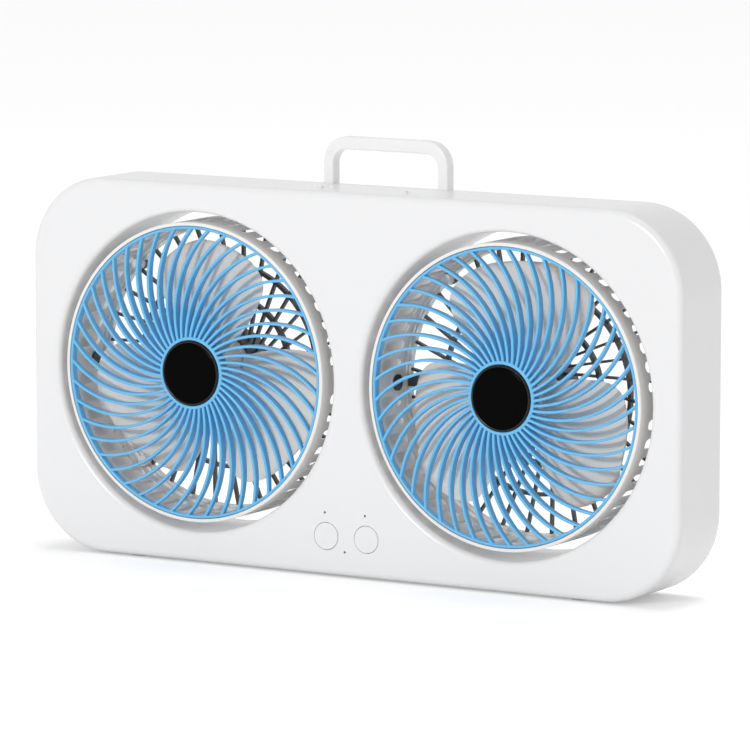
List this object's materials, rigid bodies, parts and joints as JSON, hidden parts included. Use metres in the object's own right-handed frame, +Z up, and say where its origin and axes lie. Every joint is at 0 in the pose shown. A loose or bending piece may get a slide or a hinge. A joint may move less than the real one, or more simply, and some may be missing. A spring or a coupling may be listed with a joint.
{
  "type": "dual-head desk fan",
  "caption": "Flat upright desk fan: a box frame holds two tilting round fan heads side by side, with a pull-up carrying handle and push buttons.",
  "frame": {"origin": "on the desk, under the middle of the fan", "axes": "+X to the fan's left-hand side as it faces the user, seen as right from the front; +Y from front to back; +Z up"},
  "size_m": [0.438, 0.0597, 0.2542],
  "materials": {
    "white_shell": "gloss",
    "white_handle": "satin",
    "white_button": "gloss",
    "white_drum": "gloss",
    "blue_grille": "gloss",
    "charcoal_grille": "matte",
    "pale_impeller": "satin",
    "black_gloss": "gloss",
    "silver_trim": "polished",
    "black_plastic": "matte",
    "black_rubber": "matte",
    "green_board": "satin",
    "light_pipe": "gloss",
    "cell_wrap": "satin",
    "plated_steel": "satin",
    "screw_steel": "satin",
    "motor_steel": "satin",
    "shaft_steel": "polished",
    "bronze": "satin",
    "rotor_copper": "satin",
    "bush_plastic": "satin"
  },
  "bodies": {
    "frame": {"front_shell": "white_shell", "rear_shell": "white_shell", "shell_screws": "screw_steel", "rubber_feet": "black_rubber", "control_board": "green_board", "button_switches": "black_plastic", "indicator_lights": "light_pipe", "battery_holder": "black_plastic", "battery_cells": "cell_wrap", "charging_inlet": "plated_steel", "pivot_bushes": "bush_plastic", "friction_washers": "black_rubber"},
    "handle": {"handle": "white_handle", "handle_sliders": "black_plastic"},
    "left_button": {"left_button": "white_button"},
    "right_button": {"right_button": "white_button"},
    "left_head": {"left_drum": "white_drum", "left_front_grille": "blue_grille", "left_cap_bezel": "silver_trim", "left_hub_cap": "black_gloss", "left_back_grille": "charcoal_grille", "left_back_screws": "screw_steel", "left_pivot_pins": "black_plastic", "left_motor_can": "motor_steel", "left_motor_bearings": "bronze", "left_motor_screws": "screw_steel"},
    "left_impeller": {"left_motor_rotor": "rotor_copper", "left_shaft": "shaft_steel", "left_impeller": "pale_impeller", "left_impeller_nut": "screw_steel"},
    "right_head": {"right_drum": "white_drum", "right_front_grille": "blue_grille", "right_cap_bezel": "silver_trim", "right_hub_cap": "black_gloss", "right_back_grille": "charcoal_grille", "right_back_screws": "screw_steel", "right_pivot_pins": "black_plastic", "right_motor_can": "motor_steel", "right_motor_bearings": "bronze", "right_motor_screws": "screw_steel"},
    "right_impeller": {"right_motor_rotor": "rotor_copper", "right_shaft": "shaft_steel", "right_impeller": "pale_impeller", "right_impeller_nut": "screw_steel"}
  },
  "joints": [
    {"name": "handle_slide", "type": "slide", "parent": "frame", "child": "handle", "axis": [0, 0, 1], "range_m": [-0.0116, 0]},
    {"name": "left_button_press", "type": "slide", "parent": "frame", "child": "left_button", "axis": [0, 1, 0], "range_m": [0, 0.0008], "stiffness_N_per_m": 1200, "springref_m": -0.0005},
    {"name": "right_button_press", "type": "slide", "parent": "frame", "child": "right_button", "axis": [0, 1, 0], "range_m": [0, 0.0008], "stiffness_N_per_m": 1200, "springref_m": -0.0005},
    {"name": "left_tilt", "type": "hinge", "parent": "frame", "child": "left_head", "pos_m": [-0.105, 0, 0.1142], "axis": [1, 0, 0], "range_deg": [-90, 90]},
    {"name": "left_spin", "type": "hinge", "parent": "left_head", "child": "left_impeller", "pos_m": [-0.105, 0, 0.1142], "axis": [0, -1, 0], "continuous": true},
    {"name": "right_tilt", "type": "hinge", "parent": "frame", "child": "right_head", "pos_m": [0.105, 0, 0.1142], "axis": [1, 0, 0], "range_deg": [-90, 90]},
    {"name": "right_spin", "type": "hinge", "parent": "right_head", "child": "right_impeller", "pos_m": [0.105, 0, 0.1142], "axis": [0, -1, 0], "continuous": true}
  ]
}
